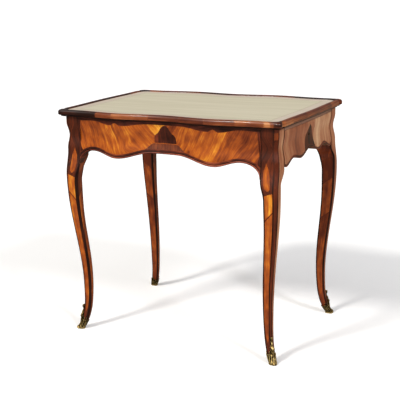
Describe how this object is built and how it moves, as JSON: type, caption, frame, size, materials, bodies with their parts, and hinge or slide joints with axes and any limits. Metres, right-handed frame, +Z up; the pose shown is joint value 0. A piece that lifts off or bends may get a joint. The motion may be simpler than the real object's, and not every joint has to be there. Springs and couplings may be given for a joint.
{
  "type": "writing table",
  "caption": "Writing table with a leather-lined top in a moulded rim, serpentine marquetry frieze, cabriole legs in metal shoes and a drawer in its right-hand end.",
  "frame": {"origin": "on the floor, under the middle of the top", "axes": "+X to the right end, which has the drawer, +Y to the back, +Z up; the front faces -Y"},
  "size_m": [0.78, 0.54, 0.74],
  "materials": {
    "kingwood": "french polished",
    "tulipwood": "french polished",
    "walnut_veneer": "french polished",
    "walnut": "planed",
    "oak": "planed",
    "leather": "tooled skiver",
    "bronze": "gilded, worn",
    "brass": "filed",
    "steel": "filed"
  },
  "bodies": {
    "carcass": {"top_board": "oak", "leather_top": "leather", "rim_front": "kingwood", "rim_right": "kingwood", "rim_back": "kingwood", "rim_left": "kingwood", "leg_front_left": "kingwood", "leg_front_right": "kingwood", "leg_back_left": "kingwood", "leg_back_right": "kingwood", "reserves_front_left": "tulipwood", "reserves_front_right": "tulipwood", "reserves_back_left": "tulipwood", "reserves_back_right": "tulipwood", "shoe_front_left": "bronze", "shoe_front_right": "bronze", "shoe_back_left": "bronze", "shoe_back_right": "bronze", "shoe_pins": "bronze", "apron_front": "oak", "apron_back": "oak", "apron_left": "oak", "front_leaves": "tulipwood", "front_banding": "kingwood", "front_cartouche": "kingwood", "back_leaves": "tulipwood", "back_banding": "kingwood", "back_cartouche": "kingwood", "left_leaves": "tulipwood", "left_banding": "kingwood", "left_cartouche": "walnut_veneer", "top_rail": "kingwood", "bearer_rail": "oak", "runner_front": "oak", "runner_back": "oak", "guide_front": "oak", "guide_back": "oak", "kicker_front": "oak", "kicker_back": "oak", "drawer_stops": "oak", "glue_blocks": "oak"},
    "drawer": {"drawer_front": "walnut", "drawer_leaves": "tulipwood", "drawer_banding": "kingwood", "drawer_cartouche": "walnut_veneer", "drawer_side_front": "oak", "drawer_side_back": "oak", "drawer_back": "oak", "drawer_bottom": "oak", "lock_case": "brass", "lock_screws": "brass", "keyhole_liner": "brass"},
    "lock_bolt": {"lock_bolt": "steel"}
  },
  "joints": [
    {"name": "drawer_slide", "type": "slide", "parent": "carcass", "child": "drawer", "axis": [1, 0, 0], "range_m": [0, 0.4]},
    {"name": "bolt_throw", "type": "slide", "parent": "drawer", "child": "lock_bolt", "axis": [0, 0, 1], "range_m": [0, 0.006]}
  ]
}
